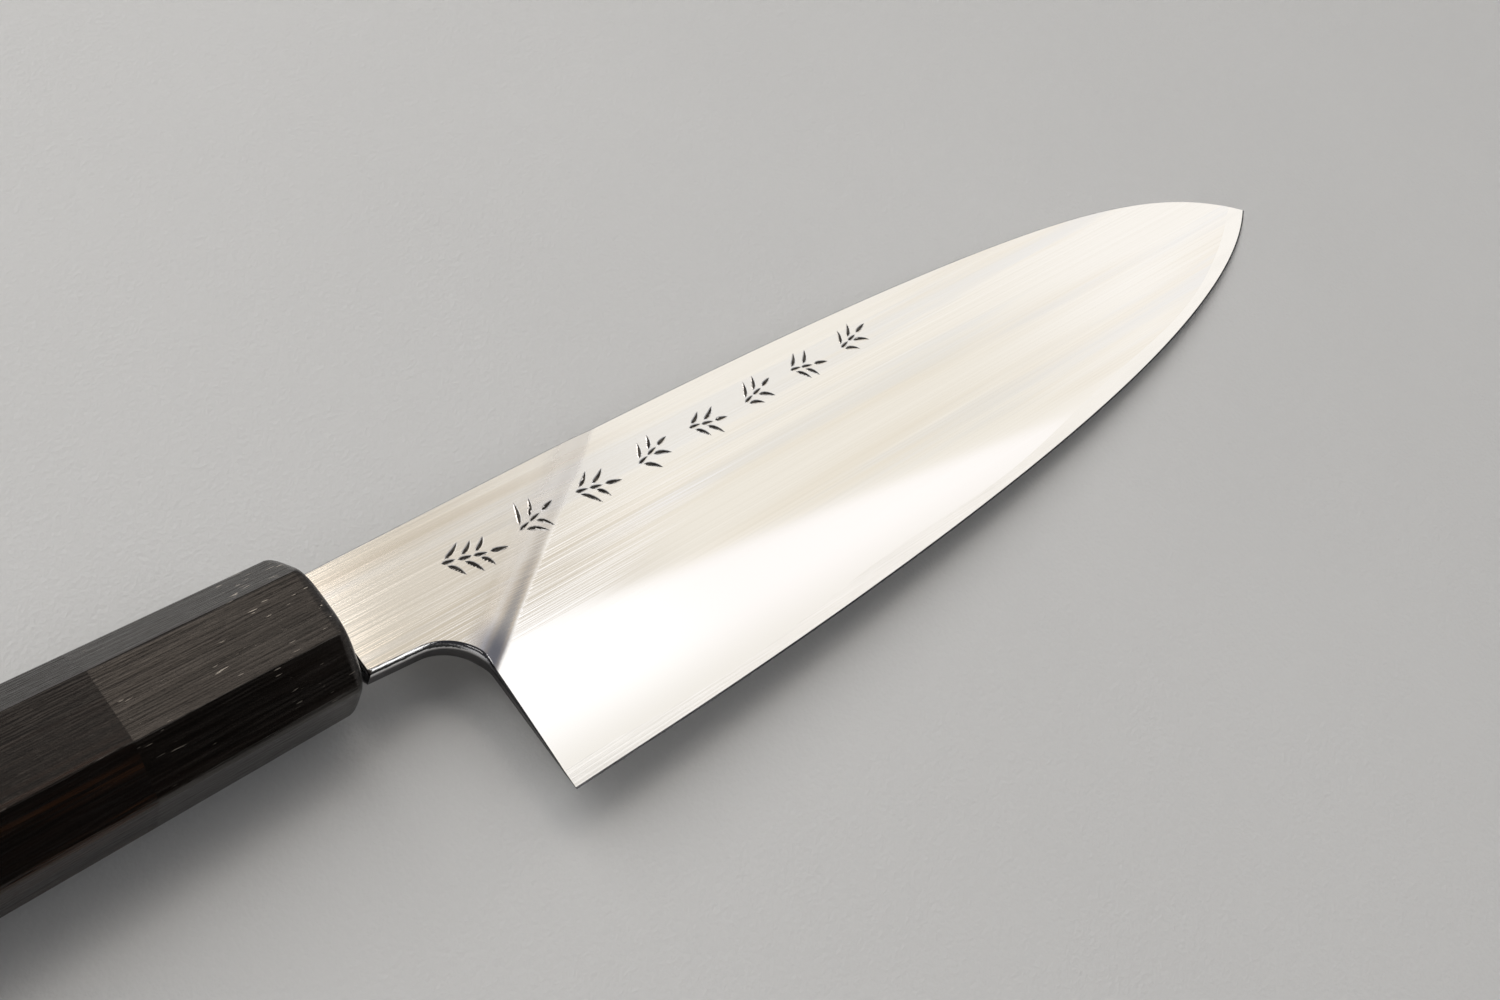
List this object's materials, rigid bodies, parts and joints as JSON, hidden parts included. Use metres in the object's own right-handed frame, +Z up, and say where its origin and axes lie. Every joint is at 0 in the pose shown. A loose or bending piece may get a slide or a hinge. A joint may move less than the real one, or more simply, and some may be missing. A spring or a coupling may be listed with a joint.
{
  "type": "chef knife",
  "caption": "Japanese-style chef knife: wide clad steel blade with curved choil, octagonal horn ferrule and dark wood grip, laid on its side as on a table.",
  "frame": {"origin": "on the surface the knife lies on, under the middle of its bounding box", "axes": "+X towards the blade's tip, +Y towards the spine, +Z up out of the front face of the blade; the knife is pitched 2.6 degrees tip-down, as it lies on its ferrule rim and tip"},
  "size_m": [0.366, 0.052, 0.0289],
  "materials": {
    "core_steel": "polished",
    "clad_steel": "satin",
    "horn": "polished",
    "dark_wood": "polished",
    "dowel_wood": "matte",
    "resin": "matte",
    "seal": "matte"
  },
  "bodies": {
    "root": {"blade_core": "core_steel", "cladding_front": "clad_steel", "cladding_back": "clad_steel", "ferrule": "horn", "handle_grip": "dark_wood", "handle_dowel": "dowel_wood", "tang_bedding": "resin", "mouth_seal": "seal"}
  },
  "joints": []
}
